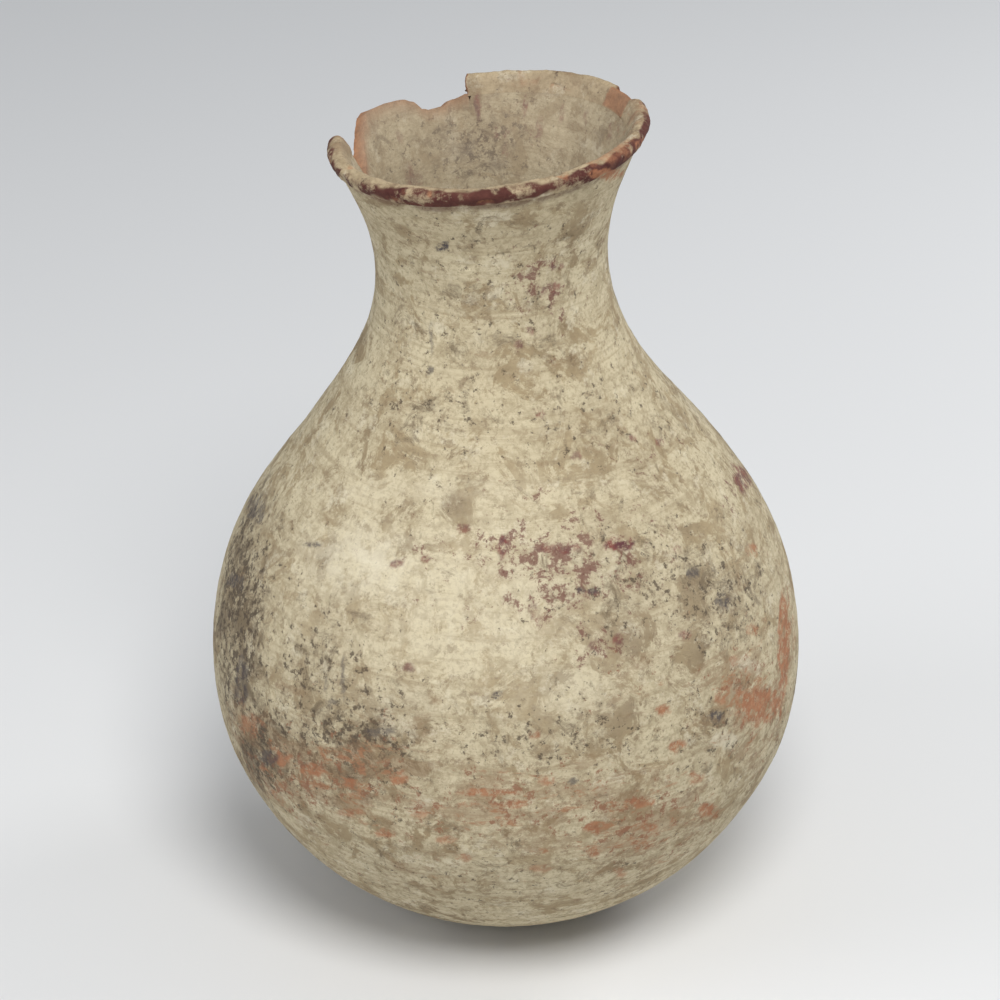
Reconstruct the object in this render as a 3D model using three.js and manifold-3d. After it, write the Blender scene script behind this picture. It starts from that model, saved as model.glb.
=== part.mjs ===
// Tall-necked terracotta jar, built up from hand-formed clay courses.
// Millimetres, +Z up, origin at the centre of the flat resting face.
import * as THREE from 'three';
import { mergeVertices } from 'three/addons/utils/BufferGeometryUtils.js';
import Module from 'manifold-3d';

// ---- driving dimensions (mm) ----
const SEGMENTS = 48;          // facets round the axis
const WALL = 6.5;             // wall thickness of the body
const BASE_THICK = 9;         // floor thickness
const FOOT_R = 57;            // radius of the flat resting face
const JOINT_GAP = 0.3;        // clearance between neighbouring courses
const SCARF = 4;              // how far each joint slopes down towards the inside
const LIP_BULGE = 1.2;        // the lip strip stands proud of the flare
const LEAN_START = 252.3;     // the neck begins to lean here
const LEAN_1 = -0.1021, LEAN_2 = 0.000298;
const RIM_TILT = 0.1;         // the mouth is higher on the +X side
const TILT_FROM = 290, TILT_TO = 420;
// outer profile, radius and height
const PROFILE = [
  [60.5, 1.6], [68, 7], [88.3, 18.5], [109.2, 36.3], [126.6, 57.6], [140.5, 81.4], [149.6, 107.4],
  [152.7, 134.7], [150.7, 162.2], [144.5, 189.1], [133.5, 214.3], [118.8, 237.6], [102.5, 259.9],
  [86.2, 282.1], [71.6, 305.5], [61, 330.9], [57.3, 358.1], [61.5, 385.3], [71.5, 410.9], [77.7, 423.2],
];
// joints between courses, as positions along the profile
const JOINTS = [3, 5.45, 7.6, 10.8, 14, 17, 18.4];

const curve = new THREE.SplineCurve(PROFILE.map(([r, z]) => new THREE.Vector2(r, z)));
const LAST = PROFILE.length - 1;
const at = (k) => curve.getPoint(k / LAST);
function frame(k) {
  const e = 0.02;
  const a = at(Math.max(0, k - e)), b = at(Math.min(LAST, k + e));
  const t = b.clone().sub(a).normalize();
  return { p: at(k), t, n: new THREE.Vector2(t.y, -t.x) };   // n faces out
}
// a point at profile position k, moved along the wall by s and inwards by d
function pt(k, s, d) {
  const f = frame(k);
  return f.p.clone().addScaledVector(f.t, s).addScaledVector(f.n, -d);
}

const smooth = (x) => { const u = Math.min(1, Math.max(0, x)); return u * u * (3 - 2 * u); };
// lean of the neck and tilt of the mouth, shared by every course
function warp(geo) {
  const p = geo.attributes.position;
  for (let i = 0; i < p.count; i++) {
    const x = p.getX(i), z = p.getZ(i);
    const u = Math.max(0, z - LEAN_START);
    p.setX(i, x + LEAN_1 * u + LEAN_2 * u * u);
    p.setZ(i, z + RIM_TILT * x * smooth((z - TILT_FROM) / (TILT_TO - TILT_FROM)));
  }
  return geo;
}

function lathe(points) {
  const g = new THREE.LatheGeometry(points, SEGMENTS);
  g.rotateX(Math.PI / 2);                    // turning axis to +Z
  return clean(g);
}
function clean(g) {
  g.deleteAttribute('normal');
  g.deleteAttribute('uv');
  let m = mergeVertices(g, 1e-3);
  // drop facets that collapsed on the axis
  const idx = m.index.array, keep = [];
  for (let i = 0; i < idx.length; i += 3) {
    const [a, b, c] = [idx[i], idx[i + 1], idx[i + 2]];
    if (a !== b && b !== c && a !== c) keep.push(a, b, c);
  }
  m.setIndex(keep);
  return m;
}

const wasm = await Module();
wasm.setup();
function solid(g) {
  const m = new wasm.Manifold(new wasm.Mesh({
    numProp: 3,
    vertProperties: new Float32Array(g.attributes.position.array),
    triVerts: new Uint32Array(g.index.array),
  }));
  return m;
}
function geometry(m) {
  const q = m.getMesh();
  const g = new THREE.BufferGeometry();
  g.setAttribute('position', new THREE.BufferAttribute(new Float32Array(q.vertProperties), 3));
  g.setIndex(Array.from(q.triVerts));
  return g;
}
// turn every shell so that its faces look out
function outward(g) {
  const p = g.attributes.position, ix = g.index.array;
  let v = 0;
  const a = new THREE.Vector3(), b = new THREE.Vector3(), c = new THREE.Vector3();
  for (let i = 0; i < ix.length; i += 3) {
    a.fromBufferAttribute(p, ix[i]); b.fromBufferAttribute(p, ix[i + 1]); c.fromBufferAttribute(p, ix[i + 2]);
    v += a.dot(b.cross(c));
  }
  if (v < 0) {
    const r = [];
    for (let i = 0; i < ix.length; i += 3) r.push(ix[i], ix[i + 2], ix[i + 1]);
    g.setIndex(r);
  }
  return g;
}

// one ring course between two joints; the joint faces slope down to the inside
function course(k0, k1, rings) {
  const out = [], inn = [];
  for (let i = 0; i <= rings; i++) {
    const k = k0 + (k1 - k0) * (i / rings);
    const first = i === 0, last = i === rings;
    const s = first ? JOINT_GAP / 2 : last ? -JOINT_GAP / 2 : 0;
    out.push(pt(k, s, 0));
    inn.push(pt(k, (first || last) ? s - SCARF : 0, WALL));
  }
  const ring = [...out, ...inn.reverse()];
  ring.push(ring[0].clone());
  return outward(lathe(ring));
}

function baseBowl(k1) {
  const pts = [new THREE.Vector2(0, 0), new THREE.Vector2(FOOT_R, 0), at(0)];
  for (const k of [1, 2]) pts.push(at(k));
  pts.push(pt(k1, -JOINT_GAP / 2, 0));
  pts.push(pt(k1, -JOINT_GAP / 2 - SCARF, WALL));
  pts.push(pt(2, 0, WALL + 0.5));
  pts.push(pt(1.3, 0, WALL + 1.5));
  pts.push(new THREE.Vector2(50, BASE_THICK));
  pts.push(new THREE.Vector2(0, BASE_THICK));
  return outward(lathe(pts));
}

// the lip: a folded strip with a rounded top that stands proud of the flare
function lipBand(k0) {
  const g = JOINT_GAP / 2;
  const pts = [
    pt(k0, g, 0), pt(k0, g + 0.8, -LIP_BULGE), pt(LAST - 0.15, 0, -LIP_BULGE),
    pt(LAST, 0.4, -0.3), pt(LAST, 1.3, WALL * 0.4), pt(LAST, 0.4, WALL - 1.2), pt(LAST, -1.4, WALL),
    pt(k0, g - SCARF, WALL),
  ];
  pts.push(pts[0].clone());
  return outward(lathe(pts));
}

// a jagged slab reaching outwards from the axis: outline in (sideways, height)
function slab(outline, azimuthDeg, r0, r1) {
  const g = new THREE.ExtrudeGeometry(new THREE.Shape(outline.map(([u, z]) => new THREE.Vector2(u, z))),
    { depth: r1 - r0, bevelEnabled: false, steps: 1 });
  g.rotateX(Math.PI / 2);                     // (u, z) upright, depth along -Y
  g.translate(0, -r0, 0);
  g.rotateZ(THREE.MathUtils.degToRad(azimuthDeg + 90));
  return solid(outward(clean(g)));
}

// broken mouth, back left: the lip strip is gone and the flare is chewed below it
const BREAK_AZ = 137;
const breakOutline = [
  [-49, 480], [-48, 430], [-47, 413.5], [-43, 412.3], [-38, 413], [-33, 410.8], [-27, 410], [-22, 411.5],
  [-8, 412], [8, 412], [22, 412], [26, 409], [30, 406], [33, 406.5], [36, 402], [40, 400.5], [44, 402],
  [46.5, 405], [48, 431], [49, 480],
];
const breakCut = slab(breakOutline, BREAK_AZ, 25, 140);
// chip out of the lip, right
const chipCut = slab([[-13, 480], [-12.5, 421.5], [-7, 418.6], [1, 419.6], [7, 418.2], [12, 422], [13, 480]], 24, 74.5, 120);

// a tongue of the flare still stands to nearly full height inside the broken stretch
const tongue = solid(course(JOINTS[5], LAST, 5)).intersect(slab([
  [-23, 405], [-21, 411], [-17, 413.4], [-13, 415.6], [-9, 417], [-4, 418.6], [1, 419.4], [6, 421.2], [11, 421.8],
  [15, 423.2], [17.5, 420], [20, 415], [22, 405],
], BREAK_AZ, 25, 140));

const flare = solid(course(JOINTS[5], JOINTS[6], 3)).subtract(breakCut).add(tongue);
const lip = solid(lipBand(JOINTS[6])).subtract(breakCut).subtract(chipCut);

const clay = { roughness: 0.9, metalness: 0 };
const parts = [
  ['base_bowl', baseBowl(JOINTS[0]), 0xc9b596],
  ['lower_belly', course(JOINTS[0], JOINTS[1], 4), 0xcdba9b],
  ['mid_belly', course(JOINTS[1], JOINTS[2], 4), 0xd2c1a2],
  ['upper_belly', course(JOINTS[2], JOINTS[3], 5), 0xd0bf9f],
  ['shoulder_cone', course(JOINTS[3], JOINTS[4], 4), 0xcbb998],
  ['neck', course(JOINTS[4], JOINTS[5], 5), 0xc8b594],
  ['mouth_flare', geometry(flare), 0xc4ab87],
  ['lip_band', geometry(lip), 0x8a4a35],
];

const group = new THREE.Group();
group.name = 'jar';
for (const [name, geo, color] of parts) {
  warp(geo);
  geo.computeVertexNormals();
  const mesh = new THREE.Mesh(geo, new THREE.MeshStandardMaterial({ color, ...clay }));
  mesh.name = name;
  group.add(mesh);
}
export default group;
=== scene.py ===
import math
import bpy
import numpy as np
from mathutils import Vector, Matrix


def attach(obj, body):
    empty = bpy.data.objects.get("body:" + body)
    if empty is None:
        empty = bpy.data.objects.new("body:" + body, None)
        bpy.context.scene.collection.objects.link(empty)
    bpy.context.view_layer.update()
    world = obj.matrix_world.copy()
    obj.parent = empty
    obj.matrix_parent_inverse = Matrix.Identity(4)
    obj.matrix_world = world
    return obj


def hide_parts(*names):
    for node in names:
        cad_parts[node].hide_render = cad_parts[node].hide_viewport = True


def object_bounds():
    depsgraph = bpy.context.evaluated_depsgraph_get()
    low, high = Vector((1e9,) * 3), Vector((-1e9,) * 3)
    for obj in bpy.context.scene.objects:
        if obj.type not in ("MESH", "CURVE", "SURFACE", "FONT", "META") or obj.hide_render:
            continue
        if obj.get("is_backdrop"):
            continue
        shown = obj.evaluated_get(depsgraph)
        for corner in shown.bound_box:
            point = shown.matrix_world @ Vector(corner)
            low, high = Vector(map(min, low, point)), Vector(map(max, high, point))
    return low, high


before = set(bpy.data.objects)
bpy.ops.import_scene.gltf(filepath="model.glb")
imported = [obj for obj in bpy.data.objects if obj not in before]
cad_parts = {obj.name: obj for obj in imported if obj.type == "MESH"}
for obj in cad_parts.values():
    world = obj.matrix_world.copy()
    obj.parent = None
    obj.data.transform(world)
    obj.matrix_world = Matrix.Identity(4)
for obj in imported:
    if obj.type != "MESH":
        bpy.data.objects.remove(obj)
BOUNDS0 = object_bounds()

MM = 0.001

# ------------------------------------------------------------------ profile (mm), as the CAD part
WALL = 6.5
BASE_THICK = 9.0
FOOT_R = 57.0
GAP = 0.3
SCARF = 4.0
LIP_BULGE = 1.2
LEAN_START, LEAN_1, LEAN_2 = 252.3, -0.1021, 0.000298
RIM_TILT, TILT_FROM, TILT_TO = 0.1, 290.0, 420.0
PROFILE = np.array([
    [60.5, 1.6], [68, 7], [88.3, 18.5], [109.2, 36.3], [126.6, 57.6], [140.5, 81.4], [149.6, 107.4],
    [152.7, 134.7], [150.7, 162.2], [144.5, 189.1], [133.5, 214.3], [118.8, 237.6], [102.5, 259.9],
    [86.2, 282.1], [71.6, 305.5], [61, 330.9], [57.3, 358.1], [61.5, 385.3], [71.5, 410.9], [77.7, 423.2]])
JOINTS = [3, 5.45, 7.6, 10.8, 14, 17, 18.4]
LAST = len(PROFILE) - 1


def at(k):
    k = np.clip(np.asarray(k, float), 0, LAST)
    i = np.minimum(np.floor(k).astype(int), LAST - 1)
    w = (k - i)[..., None]
    p0 = PROFILE[np.maximum(i - 1, 0)]
    p1 = PROFILE[i]
    p2 = PROFILE[np.minimum(i + 1, LAST)]
    p3 = PROFILE[np.minimum(i + 2, LAST)]
    v0, v1 = (p2 - p0) * .5, (p3 - p1) * .5
    return (2 * p1 - 2 * p2 + v0 + v1) * w ** 3 + (-3 * p1 + 3 * p2 - 2 * v0 - v1) * w ** 2 + v0 * w + p1


def frame_at(k):
    k = np.asarray(k, float)
    a, b = at(np.maximum(0, k - .02)), at(np.minimum(LAST, k + .02))
    t = b - a
    t /= np.linalg.norm(t, axis=-1, keepdims=True)
    n = np.stack([t[..., 1], -t[..., 0]], -1)
    return at(k), t, n


def smooth(x):
    u = np.clip(x, 0, 1)
    return u * u * (3 - 2 * u)


def warp(P):
    x, y, z = P[..., 0], P[..., 1], P[..., 2]
    u = np.maximum(0, z - LEAN_START)
    return np.stack([x + LEAN_1 * u + LEAN_2 * u * u, y,
                     z + RIM_TILT * x * smooth((z - TILT_FROM) / (TILT_TO - TILT_FROM))], -1)


# ------------------------------------------------------------------ seeded lattice noise
_tab = np.random.default_rng(7).random(65536) * 2 - 1


def noise(P, scale, seed=0):
    q = P / scale
    i = np.floor(q).astype(np.int64)
    f = q - i
    u = f * f * (3 - 2 * f)
    out = 0
    for dx in (0, 1):
        for dy in (0, 1):
            for dz in (0, 1):
                h = ((i[..., 0] + dx) * 73856093) ^ ((i[..., 1] + dy) * 19349663) ^ ((i[..., 2] + dz) * 83492791) ^ (seed * 2654435761)
                v = _tab[(h ^ (h >> 13)) & 65535]
                w = (u[..., 0] if dx else 1 - u[..., 0]) * (u[..., 1] if dy else 1 - u[..., 1]) * (u[..., 2] if dz else 1 - u[..., 2])
                out = out + v * w
    return out


def fbm(P, scale, seed=0, octaves=3):
    s, a, tot = 0, 1.0, 0
    for o in range(octaves):
        s = s + a * noise(P, scale / 2 ** o, seed + 11 * o)
        tot += a
        a *= .5
    return s / tot


# ------------------------------------------------------------------ camera of the photo, in mm
EL = math.radians(28.0)
CAM = np.array([-3.1, -1627.3, 1086.3])
FWD = np.array([0, math.cos(EL), -math.sin(EL)])
UP = np.array([0, math.sin(EL), math.cos(EL)])
FPX = 3600.0


def project(P):
    q = P - CAM
    d = q @ FWD
    return 500 + FPX * q[..., 0] / d, 500 - FPX * (q @ UP) / d


# marks read off the object: x, y, half width, half height, strength
MARKS = {
    "worn": [(784, 652, 5, 48, .9), (751, 630, 6, 5, .8), (751, 550, 5, 6, .7), (760, 705, 22, 15, .9), (662, 710, 8, 5, .9),
             (675, 747, 9, 6, .9), (697, 777, 8, 6, .8), (708, 812, 9, 6, .9), (593, 827, 8, 5, .8), (595, 851, 8, 5, .8),
             (640, 803, 10, 5, .8), (649, 827, 8, 4, .8), (534, 734, 6, 4, .7), (547, 781, 7, 4, .7), (487, 792, 24, 4, .8),
             (515, 805, 8, 4, .8), (249, 723, 9, 8, .6), (282, 758, 10, 7, .8), (314, 772, 9, 6, .8), (351, 784, 9, 5, .8),
             (400, 778, 8, 6, .8), (387, 833, 9, 4, .8), (445, 840, 9, 4, .7), (463, 858, 8, 4, .7), (606, 174, 15, 5, .9),
             (644, 144, 7, 8, .7), (620, 872, 8, 4, .6), (540, 868, 12, 3, .5), (350, 812, 12, 4, .6), (420, 815, 10, 3, .6),
             (720, 700, 6, 5, .6), (735, 660, 5, 4, .5)],
    "red": [(478, 106, 3, 12, .9), (525, 107, 3, 8, .9), (541, 128, 4, 8, .7), (505, 150, 5, 5, .6), (562, 112, 2, 9, .7),
            (586, 118, 2, 8, .7), (610, 131, 2, 7, .6), (400, 140, 3, 8, .5), (455, 95, 6, 3, .7), (742, 479, 8, 13, .8), (557, 267, 6, 4, .8), (550, 289, 9, 5, .7), (531, 331, 5, 4, .7), (519, 345, 5, 4, .7),
            (539, 413, 5, 4, .7), (634, 438, 4, 3, .7), (661, 442, 4, 3, .7), (575, 456, 5, 4, .6), (398, 563, 6, 4, .7),
            (424, 559, 5, 4, .7), (504, 545, 5, 11, .9), (555, 549, 20, 5, .7), (622, 543, 13, 6, 1), (677, 550, 5, 4, .7),
            (463, 528, 5, 4, .7), (408, 667, 6, 5, .7), (619, 639, 6, 5, .8), (593, 646, 5, 4, .7), (685, 635, 5, 4, .7),
            (533, 608, 3, 9, .6), (539, 622, 3, 7, .6)],
    "dark": [(466, 152, 12, 7, .5), (495, 165, 9, 4, .4), (694, 572, 6, 5, .8), (725, 602, 8, 7, .8), (580, 591, 5, 3, .7), (593, 591, 5, 3, .6), (498, 695, 6, 4, 1),
             (715, 716, 7, 5, .9), (235, 581, 6, 8, .7), (255, 508, 8, 12, .6), (241, 678, 7, 22, .6), (331, 703, 6, 4, .6),
             (381, 731, 12, 4, .6), (267, 758, 9, 7, .7), (573, 781, 6, 4, .7), (312, 545, 9, 2, .8), (343, 678, 1.6, 20, .6),
             (326, 683, 1.6, 8, .6), (442, 247, 5, 4, 1), (431, 338, 2, 17, .5), (430, 370, 3, 3, .7), (610, 705, 4, 3, .5)],
    # pale: cream patches, and a broad painted pool of light over the brightly lit front
    "pale_and_painted_light": [(363, 563, 45, 28, .8), (480, 600, 130, 80, .35), (747, 665, 14, 9, .7), (725, 740, 14, 8, .7),
             (460, 490, 110, 14, .3), (560, 690, 60, 30, .3), (400, 700, 50, 20, .3)],
}


# broad zones in which a kind of wear is common, and zones of soot with painted shade: x, y, half width, half height,
# strength
ZONES = {
    "orange": [(330, 775, 110, 45, 1), (480, 805, 120, 40, .9), (620, 815, 110, 55, .9), (755, 700, 50, 70, .9), (790, 640, 12, 90, 1),
               (250, 725, 30, 30, .7), (450, 870, 160, 30, .45), (640, 690, 60, 40, .5), (640, 130, 30, 30, .9)],
    "blush": [(560, 565, 120, 60, 1), (620, 640, 90, 30, .7), (545, 290, 45, 45, .8), (420, 560, 40, 25, .7), (640, 450, 60, 40, .45),
              (480, 600, 70, 50, .5), (735, 480, 20, 40, .8), (410, 665, 25, 15, .5), (500, 120, 90, 40, .5)],
    # soot: dirt, and painted shade down the left edge, on the right side, inside the mouth and low on the body
    "soot_and_painted_shade": [(240, 600, 26, 130, 1), (262, 750, 30, 45, 1), (345, 745, 70, 50, .8), (715, 600, 45, 50, .7), (640, 575, 80, 50, .5),
             (320, 670, 50, 60, .5), (560, 740, 110, 30, .45), (470, 320, 80, 110, .35), (500, 250, 90, 50, .3), (430, 410, 90, 30, .4),
             (600, 420, 80, 50, .35), (470, 150, 60, 40, .7), (480, 870, 190, 50, .25), (720, 730, 50, 60, .4)],
}


def zones(P, N):
    X, Y = project(P)
    view = CAM - P
    facing = smooth(np.sum(view * N, -1) / np.linalg.norm(view, axis=-1) * 4)
    n1 = fbm(P, 40, 151, 3)
    out = {}
    for i, (kind, spots) in enumerate(ZONES.items()):
        m = np.zeros(len(P))
        for x, y, sx, sy, s in spots:
            m = np.maximum(m, s * np.exp(-.6 * (((X - x) / sx) ** 2 + ((Y - y) / sy) ** 2)))
        back = smooth(.42 + 1.3 * fbm(P, 60, 161 + i, 2))
        if kind == "orange":
            back = back * smooth((125 - P[:, 2]) / 60)
        out[kind] = np.clip(m * facing + back * .52 * (1 - facing) + n1 * .12, 0, 1)
    return out


def marks(P, N):
    """Wear masks, and pale masks that carry a painted pool of light, at points P (mm) with outward normals N."""
    X, Y = project(P)
    view = CAM - P
    facing = np.clip(np.sum(view * N, -1) / np.linalg.norm(view, axis=-1) * 8, 0, 1)
    wx, wy = fbm(P, 9, 31) * 6, fbm(P, 9, 47) * 5
    rag = fbm(P, 4, 59, 3)
    out = {}
    rng = np.random.default_rng(21)
    for kind, spots in MARKS.items():
        m = np.zeros(len(P))
        for x, y, sx, sy, s in spots:
            big = sx > 20 and kind == "pale_and_painted_light"
            d = ((X + wx * (0 if big else min(1, sx / 8)) - x) / sx) ** 2 + ((Y + wy * (0 if big else min(1, sy / 8)) - y) / sy) ** 2
            v = np.exp(-d * (.6 if big else .55))
            if not big:
                v = smooth((v + rag * .35 - .42) / .22)
            m = np.maximum(m, v * s * facing)
        # the sides and back, which the photograph hides, carry marks of the same kinds
        n = {"worn": 26, "red": 16, "dark": 14, "pale_and_painted_light": 8}[kind]
        for _ in range(n):
            th = rng.uniform(.12 * math.pi, .88 * math.pi)
            z = rng.uniform(30, 240) if kind in ("worn", "pale_and_painted_light") else rng.uniform(60, 400)
            size = rng.uniform(2.5, 8) * (4 if kind == "pale_and_painted_light" else 1)
            r = np.interp(z, PROFILE[:, 1], PROFILE[:, 0])
            c = np.array([r * math.cos(th), r * math.sin(th), z])
            d = np.sum(((P + np.stack([wx, wy, wx - wy], -1) * .4 - c) / np.array([size, size, size * .7])) ** 2, -1)
            v = np.exp(-d * .55)
            v = v if kind == "pale_and_painted_light" else smooth((v + rag * .35 - .42) / .22)
            m = np.maximum(m, v * rng.uniform(.5, .9))
        out[kind] = m
    return out


# ------------------------------------------------------------------ height of the surface (mm along the normal)
def relief(P, N, m, inside=False):
    d = fbm(P, 90, 3, 2) * .55 + fbm(P, 26, 5, 3) * .28 + fbm(P, 7, 9, 3) * .16
    if inside:
        return d * .6
    z = P[..., 2]
    # smoothing strokes round the body, stronger towards the foot
    low = smooth((150 - z) / 110)
    d += (.05 + .10 * low) * noise(P * np.array([.06, .06, 1]), 2.1, 77) + .05 * noise(P * np.array([.1, .1, 1]), 1.3, 79)
    # worn places lie below the slip, paint clots stand slightly proud, dark marks are pits
    d += -.32 * m["worn"] * (1 + .4 * noise(P, 2.5, 81)) + .10 * m["red"] - .40 * m["dark"]
    # scattered pin holes
    pin = noise(P, 5.5, 91)
    d -= .5 * smooth((pin - .62) / .2)
    # ridges where one course was laid on the next
    for k, a in zip(JOINTS, (.04, .20, .06, .05, .03, .03, 0)):
        zk = at(k)[1]
        g = np.exp(-((z - zk) / 1.6) ** 2)
        d += a * np.exp(-((z - zk - 4) / 7) ** 2) - a * 1.1 * g * smooth(.35 + 1.6 * noise(P, 34, 97))
    return d


def mesh_object(name, V, F, attrs, node):
    me = bpy.data.meshes.new(name)
    nv, nf = len(V), len(F)
    me.vertices.add(nv)
    me.vertices.foreach_set("co", (V * MM).astype(np.float32).ravel())
    lens = np.array([len(f) for f in F], np.int32) if isinstance(F, list) else np.full(nf, F.shape[1], np.int32)
    flat = np.concatenate([np.asarray(f, np.int32) for f in F]) if isinstance(F, list) else F.astype(np.int32).ravel()
    me.loops.add(len(flat))
    me.loops.foreach_set("vertex_index", flat)
    me.polygons.add(nf)
    starts = np.concatenate([[0], np.cumsum(lens)[:-1]]).astype(np.int32)
    me.polygons.foreach_set("loop_start", starts)
    me.polygons.foreach_set("use_smooth", np.ones(nf, bool))
    me.update(calc_edges=True)
    me.validate()
    me.set_sharp_from_angle(angle=math.radians(48))
    for key, val in attrs.items():
        a = me.attributes.new(key, "FLOAT", "POINT")
        a.data.foreach_set("value", val.astype(np.float32))
    o = bpy.data.objects.new(name, me)
    bpy.context.scene.collection.objects.link(o)
    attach(o, "root")
    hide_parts(node)
    return o


NT = 720
TH = np.linspace(0, 2 * math.pi, NT, endpoint=False)


def revolve(R, Z):
    """R, Z are (rows, NT): a closed loop of rows turned round the axis."""
    return np.stack([R * np.cos(TH), R * np.sin(TH), Z], -1)


def grid_faces(rows, cols, closed_rows=True, closed_cols=True):
    r = np.arange(rows if closed_rows else rows - 1)
    c = np.arange(cols if closed_cols else cols - 1)
    a, b = np.meshgrid(r, c, indexing="ij")
    a2, b2 = (a + 1) % rows, (b + 1) % cols
    return np.stack([a * cols + b, a * cols + b2, a2 * cols + b2, a2 * cols + b], -1).reshape(-1, 4)


def jag(th, kind):
    """Height lost from the flare's top, mm, round the break. th in degrees."""
    deg = np.degrees(th)
    xs = [0, 97.5, 99, 103, 107, 111, 115, 120, 123, 127, 134, 140, 146, 149, 151, 155, 160, 165, 170, 173.6, 175.5, 360]
    # negative numbers reach above the joint under the lip
    ys = [0, 0, 3.5, 4, 4.6, 6, 6, 4.8, .5, -2.2, -4.2, -5.6, -7, -6.2, -2, 2.5, 8, 12.5, 15, 13, 0, 0]
    base = np.interp(deg, xs, ys)
    inside = (deg > 98.5) & (deg < 174.5)
    w = np.where(inside, 1.0, 0.0)
    P = np.stack([deg * 1.4, np.full_like(deg, 5.0 * kind), np.zeros_like(deg)], -1)
    return base + w * (fbm(P, 7, 61 + kind, 3) * 1.5), w


def course(name, k0, k1, node):
    step = 1.4
    ks = np.linspace(k0, k1, 400)
    pts = at(ks)
    length = np.sum(np.linalg.norm(np.diff(pts, axis=0), axis=1))
    no = max(6, int(length / step))
    ni = max(4, no // 3)
    flare = node == "mouth_flare"
    is_base = node == "base_bowl"
    g = GAP * .5 * .15     # the joints close to a hairline in the finished surface
    if is_base:
        # flat foot, rounded edge, bowl outside; floor and bowl inside
        foot = [(r, 0.0) for r in np.linspace(0.4, FOOT_R, 24)]
        ko = np.linspace(0, k1, no + 1)
        out = [tuple(p) for p in at(ko)]
        out[-1] = tuple(np.array(out[-1]))
        outer = np.array(foot + out)
        pk, tk, nk = frame_at(np.linspace(1.3, k1, ni))
        s = np.zeros(ni)
        s[-1] = -SCARF
        inner = (pk + tk * s[:, None] - nk * WALL)[::-1]
        inner[-1] += np.array([-1, 1.2])
        fl = [(r, BASE_THICK) for r in np.linspace(50, 0.4, 16)]
        loop = np.concatenate([outer, inner, np.array(fl)])
        n_out = len(outer)
        R = np.repeat(loop[:, :1], NT, 1)
        Z = np.repeat(loop[:, 1:], NT, 1)
        nv = np.gradient(loop, axis=0)
        nv /= np.maximum(1e-9, np.linalg.norm(nv, axis=1, keepdims=True))
        N2 = np.stack([nv[:, 1], -nv[:, 0]], -1)
        Nr = np.repeat(N2[:, :1], NT, 1)
        Nz = np.repeat(N2[:, 1:], NT, 1)
    else:
        fo = np.linspace(0, 1, no + 1)[:, None]
        fi = np.linspace(1, 0, ni + 1)[:, None]
        if flare:
            lost_o, w = jag(TH, 0)
            lost_i, _ = jag(TH, 1)
            per = np.linalg.norm(at(k1) - at(k1 - .3)) / .3     # mm per unit of k near the top
            ko1 = np.minimum(k1 - lost_o / per, LAST - .02)
            ki1 = np.minimum(k1 - lost_i / per + 1.2 * w / per * .3, LAST - .02)
        else:
            ko1 = ki1 = np.full(NT, k1)
        K = k0 + (ko1[None, :] - k0) * fo
        Ki = k0 + (ki1[None, :] - k0) * fi
        pk, tk, nk = frame_at(K)
        so = np.zeros_like(K)
        so[0] += g
        so[-1] -= g
        Po = pk + tk * so[..., None]
        pi_, ti, ni_ = frame_at(Ki)
        si = np.zeros_like(Ki)
        top = SCARF * (1 - (w if flare else 0))
        si -= SCARF
        if flare:
            fade = fi * np.ones((1, NT))
            si += SCARF * w[None, :] * smooth((fade - .4) / .6)
        si[0] -= g
        si[-1] += g
        Pi = pi_ + ti * si[..., None] - ni_ * WALL
        R = np.concatenate([Po[..., 0], Pi[..., 0]])
        Z = np.concatenate([Po[..., 1], Pi[..., 1]])
        Nr = np.concatenate([nk[..., 0], -ni_[..., 0]])
        Nz = np.concatenate([nk[..., 1], -ni_[..., 1]])
        n_out = no + 1
    rows = R.shape[0]
    P = revolve(R, Z).reshape(-1, 3)
    N = np.stack([(Nr * np.cos(TH)), (Nr * np.sin(TH)), Nz], -1).reshape(-1, 3)
    W = warp(P)
    row = np.repeat(np.arange(rows), NT)
    outer_v = row < n_out
    m = marks(W, N)
    for kkk in m:
        m[kkk] = np.where(outer_v | (P[:, 2] > 350), m[kkk], 0)
    d = np.where(outer_v, relief(P, N, m), relief(P, N, m, True))
    if is_base:
        flat = (P[:, 2] < 1.2) | (~outer_v & (P[:, 2] < BASE_THICK + 1))
        d = np.where(flat, 0, d)
        d = np.where(P[:, 2] < 6, np.minimum(d, 0) * .3, d)
    # nothing may reach out of the wall's own half thickness
    d = np.clip(d, -1.5, 1.2)
    V = warp(P + N * d[:, None])
    F = grid_faces(rows, NT, closed_rows=not is_base)
    fr = np.zeros(len(P))
    if flare:
        wv = np.tile(w, rows)
        edge = np.minimum(np.abs(row - (n_out - 1)), np.abs(row - n_out))
        fr = wv * np.exp(-(edge / 1.2) ** 2)
        # a broken edge is rough
        V = V + N * (fbm(P, 2.6, 71, 2) * .7 * fr)[:, None]
    # inside faces, on which the material paints shade
    ins = np.where(outer_v, 0.0, 1.0)
    # slip is thinner, and the red lip paint runs a little way down, at the mouth
    lipp = smooth((P[:, 2] - 412.5 + fbm(P, 9, 37) * 2) / 2.0) * (1 - fr)
    lipp = np.where(outer_v, lipp * .5, smooth((P[:, 2] - 414 + fbm(P, 14, 39) * 12) / 6.0) * .3 * (1 - fr))
    m.update(bare=fr, inner=ins, lip=lipp)
    m.update(zones(W, N))
    if is_base:
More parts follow.
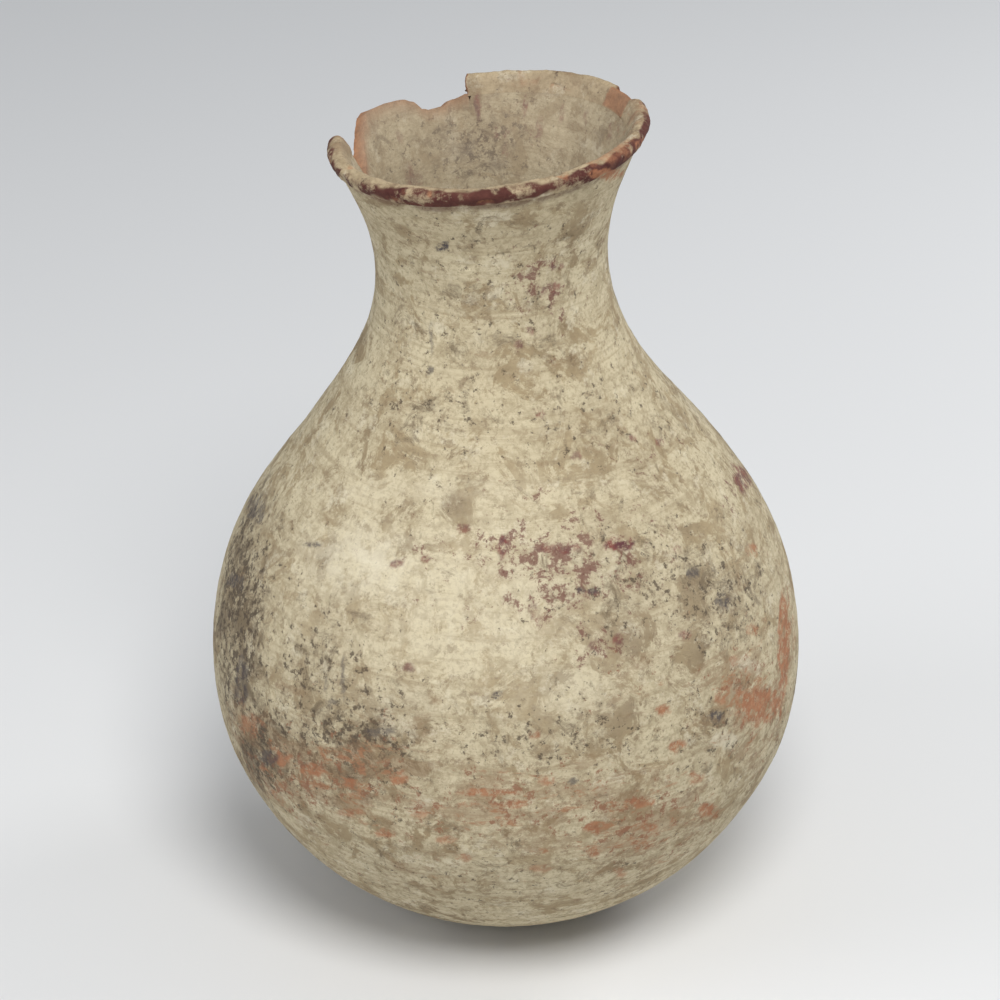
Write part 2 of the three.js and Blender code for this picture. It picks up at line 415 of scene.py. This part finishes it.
        # close the two small discs on the axis
        V = np.concatenate([V, [[0, 0, 0.0]], [[0, 0, BASE_THICK]]])
        a = len(P)
        i = np.arange(NT)
        j = (i + 1) % NT
        caps = [np.stack([np.full(NT, a), j, i], -1), np.stack([np.full(NT, a + 1), (rows - 1) * NT + i, (rows - 1) * NT + j], -1)]
        F = [tuple(f) for f in F] + [tuple(f) for c in caps for f in c]
        for kkk in m:
            m[kkk] = np.concatenate([m[kkk], [0, 1.0 if kkk == "inner" else 0]])
    return mesh_object(name, V, F, m, node)


def lip():
    """The lip strip: an open ring with broken ends."""
    k0 = JOINTS[-1]
    g = .02

    def q(k, s, dd):
        p, t, n = frame_at(np.array(float(k)))
        return p + t * s - n * dd
    ctrl = [q(k0, g, 0), q(k0, g + .8, -LIP_BULGE), q(18.65, 0, -LIP_BULGE - .1), q(LAST - .15, 0, -LIP_BULGE), q(LAST, .4, -.3), q(LAST, 1.3, WALL * .4),
            q(LAST, .9, WALL * .65), q(LAST, .4, WALL - 1.2), q(LAST, -1.4, WALL), q(18.6, -2, WALL), q(k0, g - SCARF, WALL)]
    # resample each side of the outline
    loop = []
    for i in range(len(ctrl)):
        a, b = np.array(ctrl[i]), np.array(ctrl[(i + 1) % len(ctrl)])
        n = max(2, int(np.linalg.norm(b - a) / (.55)))
        loop += [a + (b - a) * j / n for j in range(n)]
    loop = np.array(loop)
    for _ in range(2):
        keep = loop.copy()
        sm = (np.roll(loop, 1, 0) + 2 * loop + np.roll(loop, -1, 0)) / 4
        top = loop[:, 1] > 418
        loop = np.where(top[:, None], sm, keep)
    M = len(loop)
    NL = 1200
    a0, a1 = math.radians(174.8), math.radians(360 + 98.8)
    v = np.linspace(0, 1, NL)[None, :]
    # the two ends are broken at different angles through the strip
    pj = np.stack([loop[:, 0] * 1.0, loop[:, 1] * 1.0, np.zeros(M)], -1)
    e0 = fbm(pj, 3.5, 111, 2) * math.radians(1.2) + (loop[:, 1] - 418) * math.radians(.12)
    e1 = fbm(pj, 3.5, 113, 2) * math.radians(1.2)
    T = (a0 + e0[:, None]) * (1 - v) + (a1 + e1[:, None]) * v
    R = np.repeat(loop[:, :1], NL, 1)
    Z = np.repeat(loop[:, 1:], NL, 1)
    c = loop.mean(0)
    N2 = loop - c
    N2 /= np.linalg.norm(N2, axis=1, keepdims=True)
    P = np.stack([R * np.cos(T), R * np.sin(T), Z], -1)
    N = np.stack([N2[:, :1] * np.cos(T), N2[:, :1] * np.sin(T), np.repeat(N2[:, 1:], NL, 1)], -1)
    deg = np.degrees(T) % 360
    # chip on the right: the outer upper corner is gone
    inchip = smooth((9.5 - np.abs(deg - 24) + fbm(P.reshape(-1, 3), 5, 121).reshape(deg.shape) * 2) / 1.2)
    level = 418.9 + fbm(P.reshape(-1, 3), 5, 123, 3).reshape(deg.shape) * 1.0
    outerside = smooth((R - 72.6) / 1.0)
    newz = np.where(Z > level, level, Z)
    Zc = Z + (newz - Z) * inchip * outerside
    chip = inchip * smooth((Z - 416.5) / 1.5)
    P = np.stack([P[..., 0], P[..., 1], Zc], -1).reshape(-1, 3)
    N = N.reshape(-1, 3)
    chip = chip.reshape(-1)
    m = marks(warp(P), N)
    for kkk in ("red", "dark", "pale_and_painted_light"):
        m[kkk] = m[kkk] * .3
    top = smooth((P[:, 2] - 418) / 3)
    low = smooth((P[:, 2] - 417) / 1.0)
    d = (fbm(P, 34, 131, 2) * .9 + fbm(P, 9, 133, 3) * .65 + fbm(P, 2.6, 135, 2) * .25) * low
    nick = smooth((fbm(P, 11, 137, 2) - .38) / .12) * top
    d = d - nick * .9
    d = np.clip(d, -1.4, .9)
    V = warp(P + N * d[:, None])
    F = [tuple(f) for f in grid_faces(M, NL, True, False)]
    # which way round the loop runs decides the faces' sense
    area = np.sum(loop[:, 0] * np.roll(loop[:, 1], -1) - np.roll(loop[:, 0], -1) * loop[:, 1])
    caps = [tuple(np.arange(M) * NL), tuple((np.arange(M) * NL + NL - 1)[::-1])]
    F = F + [tuple(int(i) for i in cc) for cc in caps]
    col = np.tile(np.arange(NL), M)
    endf = np.exp(-(np.minimum(col, NL - 1 - col) / 1.0) ** 2)
    # inner side of the strip, which takes part of the painted inside shade
    ins = smooth((73 - np.hypot(P[:, 0], P[:, 1])) / 2)
    worn_deg = np.degrees(np.arctan2(P[:, 1], P[:, 0])) % 360
    rub = smooth((fbm(P, 16, 141, 3) + .55 * smooth((20 - np.abs(worn_deg - 322)) / 8) + .5 * smooth((12 - np.abs(worn_deg - 2)) / 6) - .32) / .18)
    m["worn"] = np.maximum(m["worn"], np.clip(rub * .45 * top + nick * .6, 0, 1))
    side = smooth((np.hypot(P[:, 0], P[:, 1]) - 75.3 + fbm(P, 9, 143, 3) * 3.2) / 1.2)
    m.update(bare=np.maximum(endf, chip), inner=ins * .6, lip=np.clip(.12 + .88 * side, 0, 1))
    m.update(zones(warp(P), N))
    return mesh_object("lip_skin", V, F, m, "lip_band")


pieces = []
bounds_k = [0] + JOINTS
for i, node in enumerate(["base_bowl", "lower_belly", "mid_belly", "upper_belly", "shoulder_cone", "neck", "mouth_flare"]):
    pieces.append((course(node + "_skin", bounds_k[i], bounds_k[i + 1], node), node))
pieces.append((lip(), "lip_band"))

# faces out on every piece
import bmesh
for o, _ in pieces:
    bm = bmesh.new()
    bm.from_mesh(o.data)
    if bm.calc_volume(signed=True) < 0:
        bmesh.ops.reverse_faces(bm, faces=bm.faces)
        bm.to_mesh(o.data)
    bm.free()


# ------------------------------------------------------------------ materials
def srgb(r, g, b):
    f = lambda c: (c / 255 / 12.92) if c / 255 <= .04045 else ((c / 255 + .055) / 1.055) ** 2.4
    return (f(r), f(g), f(b), 1)


def clay(name, base, tan, lipcol):
    mat = bpy.data.materials.new(name)
    mat.use_nodes = True
    nt = mat.node_tree
    nt.nodes.clear()
    N = nt.nodes.new
    L = nt.links.new
    out = N("ShaderNodeOutputMaterial")
    bs = N("ShaderNodeBsdfPrincipled")
    bs.inputs["Roughness"].default_value = .86
    bs.inputs["Specular IOR Level"].default_value = .25
    L(bs.outputs[0], out.inputs[0])
    tc = N("ShaderNodeTexCoord")
    co = tc.outputs["Object"]

    def tex(scale, detail=6, rough=.6, stretch=None, off=(0, 0, 0), dist=0):
        src = co
        if stretch or off != (0, 0, 0):
            mp = N("ShaderNodeMapping")
            mp.inputs["Scale"].default_value = stretch or (1, 1, 1)
            mp.inputs["Location"].default_value = off
            L(co, mp.inputs[0])
            src = mp.outputs[0]
        t = N("ShaderNodeTexNoise")
        t.inputs["Scale"].default_value = scale
        t.inputs["Detail"].default_value = detail
        t.inputs["Roughness"].default_value = rough
        t.inputs["Distortion"].default_value = dist
        L(src, t.inputs["Vector"])
        return t.outputs["Fac"]

    def ramp(src, stops):
        r = N("ShaderNodeValToRGB")
        e = r.color_ramp.elements
        while len(e) < len(stops):
            e.new(.5)
        for el, (p, c) in zip(e, stops):
            el.position = p
            el.color = c if isinstance(c, tuple) else (c, c, c, 1)
        L(src, r.inputs[0])
        return r.outputs[0]

    def mix(fac, a, b, kind="MIX"):
        m = N("ShaderNodeMix")
        m.data_type = "RGBA"
        m.blend_type = kind
        if isinstance(fac, float):
            m.inputs[0].default_value = fac
        else:
            L(fac, m.inputs[0])
        for v, s in ((a, m.inputs[6]), (b, m.inputs[7])):
            if isinstance(v, tuple):
                s.default_value = v
            else:
                L(v, s)
        return m.outputs[2]

    def math_(op, a, b, clamp=True):
        m = N("ShaderNodeMath")
        m.operation = op
        m.use_clamp = clamp
        for v, s in ((a, m.inputs[0]), (b, m.inputs[1])):
            if isinstance(v, (int, float)):
                s.default_value = v
            else:
                L(v, s)
        return m.outputs[0]

    def attr(key):
        a = N("ShaderNodeAttribute")
        a.attribute_name = key
        return a.outputs["Fac"]

    def zone_mask(noise_out, key, gain, lo, hi):
        """Specks that crowd where the zone is strong."""
        return ramp(math_("ADD", noise_out, math_("MULTIPLY", attr(key), gain), False), [(lo, 0.0), (hi, 1.0)])

    # weathered ground, olive-tan to grey-brown
    c = ramp(tex(18, 7, .65, dist=.5), [(.36, srgb(132, 115, 90)), (.50, tan), (.66, srgb(188, 172, 140))])
    # cream slip in flakes over it, at the scale of a palm, a finger and a grain
    flake = ramp(tex(44, 10, .74, off=(3, 1, 7), dist=.6), [(.435, 0.0), (.485, .85), (.60, 1.0)])
    c = mix(flake, c, base)
    c = mix(ramp(tex(95, 7, .75, off=(8, 3, 2), dist=.5), [(.50, 0.0), (.60, .55)]), c, srgb(160, 144, 114))
    c = mix(ramp(tex(60, 8, .75, off=(3, 9, 7)), [(.55, 0.0), (.63, .6)]), c, srgb(222, 213, 188))
    c = mix(ramp(tex(420, 4, .7), [(.49, 0.0), (.62, .42)]), c, srgb(146, 128, 100))
    c = mix(ramp(tex(170, 6, .78, off=(6, 1, 9)), [(.555, 0.0), (.62, .6)]), c, srgb(128, 108, 84))
    # smoothing strokes run round the body
    c = mix(ramp(tex(34, 6, .7, stretch=(.3, .3, 8)), [(.50, 0.0), (.64, .48)]), c, srgb(154, 136, 106))
    # pale cream patches, with a painted pool of light on the lit front of the body
    c = mix(math_("MULTIPLY", attr("pale_and_painted_light"), ramp(tex(120, 6, .7, off=(2, 2, 9)), [(.36, .25), (.55, 1.0)])), c, srgb(224, 215, 190))
    # a duller cast where dirt has settled, which is also painted shade on the shaded sides and low on the body
    c = mix(math_("MULTIPLY", math_("MULTIPLY", attr("soot_and_painted_shade"), .75), ramp(tex(40, 7, .7, off=(4, 7, 1), dist=.4), [(.32, 0.0), (.60, .8)])), c, srgb(146, 131, 106))
    # soiling with painted shade, worn clay and old paint, each crowding in its own zones
    c = mix(math_("MULTIPLY", zone_mask(tex(70, 9, .78, off=(11, 2, 5), dist=.8), "soot_and_painted_shade", .20, .60, .71), .8), c, srgb(114, 100, 80))
    c = mix(math_("MULTIPLY", zone_mask(tex(230, 5, .75, off=(9, 4, 2)), "soot_and_painted_shade", .17, .63, .69), .85), c, srgb(84, 72, 60))
    c = mix(math_("MULTIPLY", zone_mask(tex(40, 9, .76, stretch=(1, 1, 2.4), off=(1, 6, 3), dist=.5), "orange", .17, .60, .68), .45), c, srgb(140, 114, 86))
    c = mix(math_("MULTIPLY", zone_mask(tex(64, 9, .78, stretch=(1, 1, 2.2), off=(6, 2, 8), dist=.5), "orange", .17, .67, .74), .75), c, srgb(164, 116, 84))
    c = mix(math_("MULTIPLY", zone_mask(tex(160, 6, .75, off=(5, 5, 1)), "orange", .15, .68, .73), .8), c, srgb(142, 98, 74))
    c = mix(math_("MULTIPLY", zone_mask(tex(115, 9, .8, off=(1, 12, 5), dist=.25), "blush", .17, .665, .71), .8), c, srgb(116, 76, 68))
    # lip paint
    paint = mix(ramp(tex(90, 6, .7), [(.35, 0.0), (.7, 1.0)]), lipcol, srgb(104, 64, 54))
    lipf = math_("MULTIPLY", attr("lip"), ramp(tex(75, 6, .7, off=(2, 8, 3)), [(.40, .15), (.50, 1.0)]))
    c = mix(lipf, c, paint)
    # marks
    brk = ramp(tex(210, 8, .78, off=(1, 1, 4)), [(.42, .08), (.52, 1.0)])
    orange = mix(ramp(tex(150, 5, .7), [(.35, 0.0), (.65, 1.0)]), srgb(180, 126, 92), srgb(150, 98, 70))
    c = mix(math_("MULTIPLY", attr("worn"), brk), c, orange)
    purple = mix(ramp(tex(220, 4, .6), [(.4, 0.0), (.6, 1.0)]), srgb(132, 78, 70), srgb(100, 62, 64))
    c = mix(math_("MULTIPLY", attr("red"), brk), c, purple)
    c = mix(math_("MULTIPLY", attr("dark"), brk), c, srgb(84, 78, 78))
    # broken clay
    frac = mix(ramp(tex(230, 6, .75), [(.35, 0.0), (.65, 1.0)]), srgb(176, 128, 94), srgb(138, 98, 72))
    c = mix(attr("bare"), c, frac)
    # inside: painted shade, a darker grey-beige, streaked
    inside_shade_colour = mix(ramp(tex(28, 7, .7, stretch=(1, 1, .35), off=(4, 4, 4)), [(.35, 0.0), (.68, 1.0)]), srgb(186, 172, 150), srgb(128, 112, 98))
    c = mix(math_("MULTIPLY", attr("inner"), .42), c, inside_shade_colour)
    L(c, bs.inputs["Base Color"])
    # grain
    b1 = N("ShaderNodeBump")
    b1.inputs["Strength"].default_value = .75
    b1.inputs["Distance"].default_value = .0006
    L(tex(500, 6, .7), b1.inputs["Height"])
    b2 = N("ShaderNodeBump")
    b2.inputs["Strength"].default_value = .65
    b2.inputs["Distance"].default_value = .0012
    L(tex(110, 6, .65, off=(7, 7, 7)), b2.inputs["Height"])
    L(b1.outputs[0], b2.inputs["Normal"])
    L(b2.outputs[0], bs.inputs["Normal"])
    return mat


slip = clay("slip_clay_look", srgb(209, 197, 166), srgb(164, 146, 114), srgb(84, 45, 40))
bare = clay("bare_clay_look", srgb(203, 190, 159), srgb(162, 144, 113), srgb(84, 45, 40))
red = clay("painted_lip_look", srgb(192, 174, 142), srgb(158, 136, 108), srgb(72, 37, 34))
for o, node in pieces:
    kind = "painted_lip" if node == "lip_band" else "bare_clay" if node == "mouth_flare" else "slip_clay"
    o.data.materials.append({"slip_clay": slip, "bare_clay": bare, "painted_lip": red}[kind])

# ------------------------------------------------------------------ floor, light, camera
bpy.ops.mesh.primitive_plane_add(size=14, location=(0, 0, 0))
floor = bpy.context.object
floor.name = "floor"
fm = bpy.data.materials.new("floor_look")
fm.use_nodes = True
fb = fm.node_tree.nodes["Principled BSDF"]
fb.inputs["Base Color"].default_value = srgb(228, 229, 230)
fb.inputs["Roughness"].default_value = .95
fb.inputs["Specular IOR Level"].default_value = .1
floor.data.materials.append(fm)
floor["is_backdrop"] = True


def area(name, loc, size, power, target=(0, 0, .2), color=(1, 1, 1)):
    d = bpy.data.lights.new(name, "AREA")
    d.shape = "DISK"
    d.size = size
    d.energy = power
    d.color = color
    o = bpy.data.objects.new(name, d)
    o.location = loc
    o.rotation_euler = (Vector(target) - Vector(loc)).to_track_quat("-Z", "Y").to_euler()
    bpy.context.scene.collection.objects.link(o)
    return o


area("key", (.25, -1.25, 2.0), 1.0, 36, color=(1, .985, .96))
area("left", (-2.0, -.7, 1.3), 1.3, 12)
area("rim", (1.5, 1.0, 1.0), .8, 12)
world = bpy.data.worlds.new("soft")
bpy.context.scene.world = world
world.use_nodes = True
world.node_tree.nodes["Background"].inputs[0].default_value = (.75, .78, .82, 1)
world.node_tree.nodes["Background"].inputs[1].default_value = .42

cd = bpy.data.cameras.new("cam")
cd.lens = FPX * 36 / 1000
cd.sensor_width = 36
cd.clip_end = 50
cam = bpy.data.objects.new("cam", cd)
cam.location = Vector(CAM * MM)
cam.rotation_euler = (math.pi / 2 - EL, 0, 0)
bpy.context.scene.collection.objects.link(cam)
bpy.context.scene.camera = cam
bpy.context.scene.view_settings.view_transform = "Standard"


def plain(b):
    return [[float(x) for x in v] if hasattr(v, "__len__") else float(v) for v in b]


{"cad": plain(BOUNDS0), "visual": plain(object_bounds())}
